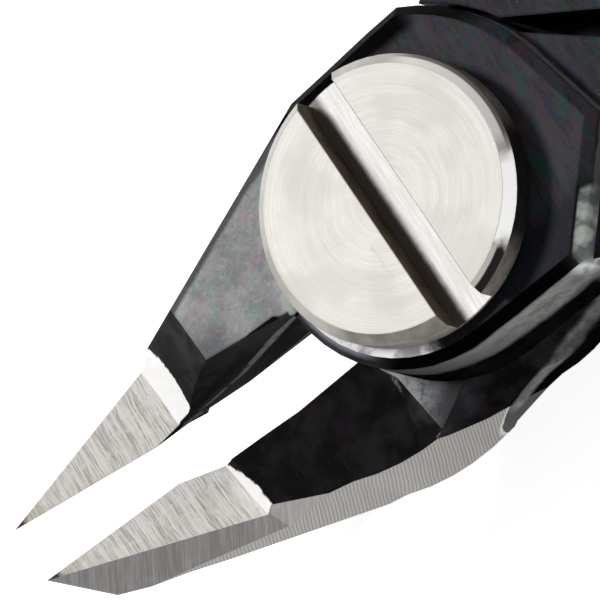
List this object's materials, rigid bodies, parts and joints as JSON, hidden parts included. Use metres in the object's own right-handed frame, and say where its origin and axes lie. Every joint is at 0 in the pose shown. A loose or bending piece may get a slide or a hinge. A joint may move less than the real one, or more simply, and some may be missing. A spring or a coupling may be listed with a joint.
{
  "type": "flush cutter",
  "caption": "Hand flush cutter with a screwed lap joint, ground cutting jaws, twin leaf springs and soft grips, for trimming leads and fine wire.",
  "frame": {"origin": "pivot axis on the ground back face of the joint", "axes": "+Z along the pivot axis towards the screw head, +Y towards the jaw tips along the line that halves the opening, +X towards the front half's jaw"},
  "size_m": [0.0472, 0.1264, 0.0136],
  "materials": {
    "jaw_steel": "blackened tool steel, satin, with bright ground cutting faces",
    "screw_steel": "turned, plain",
    "washer_steel": "dull",
    "spring_steel": "blued spring strip",
    "rivet_steel": "plain",
    "core_plastic": "moulded, fine texture",
    "cover_rubber": "soft matt overmould"
  },
  "bodies": {
    "rear_body": {"rear_half": "jaw_steel", "pivot_screw": "screw_steel", "pivot_washer": "washer_steel", "rear_leaf_spring": "spring_steel", "rear_spring_rivet": "rivet_steel", "rear_grip_core": "core_plastic", "rear_grip_cover": "cover_rubber"},
    "front_body": {"front_half": "jaw_steel", "front_leaf_spring": "spring_steel", "front_spring_rivet": "rivet_steel", "front_grip_core": "core_plastic", "front_grip_cover": "cover_rubber"}
  },
  "joints": [
    {"name": "pivot", "type": "hinge", "parent": "rear_body", "child": "front_body", "pos_m": [0, 0, 0.0045], "axis": [0, 0, 1], "range_deg": [-8, 6.68], "stiffness_Nm_per_rad": 0.4, "deforming": ["front_leaf_spring", "rear_leaf_spring"]}
  ]
}
